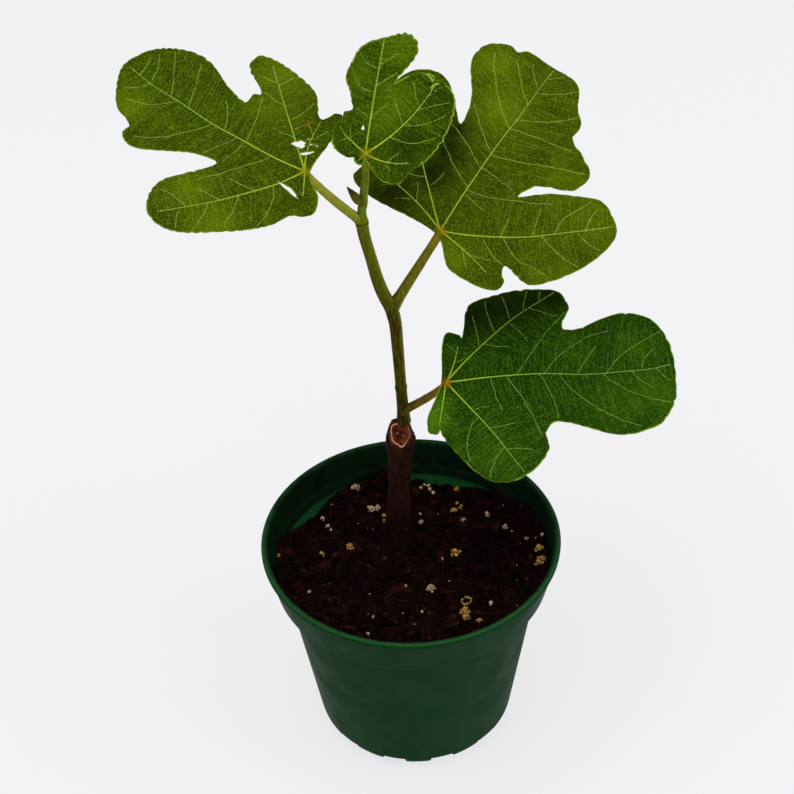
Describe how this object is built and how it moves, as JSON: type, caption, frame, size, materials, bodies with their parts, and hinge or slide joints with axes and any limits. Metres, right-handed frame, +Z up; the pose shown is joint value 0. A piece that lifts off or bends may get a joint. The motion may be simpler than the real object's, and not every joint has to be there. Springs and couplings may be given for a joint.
{
  "type": "young fig tree in a nursery pot",
  "caption": "Young fig tree: a short woody cutting in a round green nursery pot of soil, with one slim shoot that carries large lobed leaves on stalks.",
  "frame": {"origin": "centre of the pot's flat underside", "axes": "+Z up, -Y towards the plant's front, +X to the right seen from the front"},
  "size_m": [0.1768, 0.1301, 0.2602],
  "materials": {
    "pot": "deep green moulded plastic, soft sheen",
    "soil": "dark moist potting mix with pale grains",
    "bark": "dark brown bark, dull",
    "shoot": "olive-brown young bark",
    "bud": "brown-green bud scale",
    "stalk": "yellow-green to orange-brown stalk",
    "leaf": "mid green blade with pale veins, slightly glossy"
  },
  "bodies": {
    "root": {"pot": "pot", "soil": "soil", "trunk": "bark", "shoot": "shoot", "bud": "bud", "stalk_low": "stalk", "stalk_right": "stalk", "stalk_left": "stalk", "stalk_top": "stalk", "leaf_low": "leaf", "leaf_right": "leaf", "leaf_left": "leaf", "leaf_top": "leaf"}
  },
  "joints": []
}
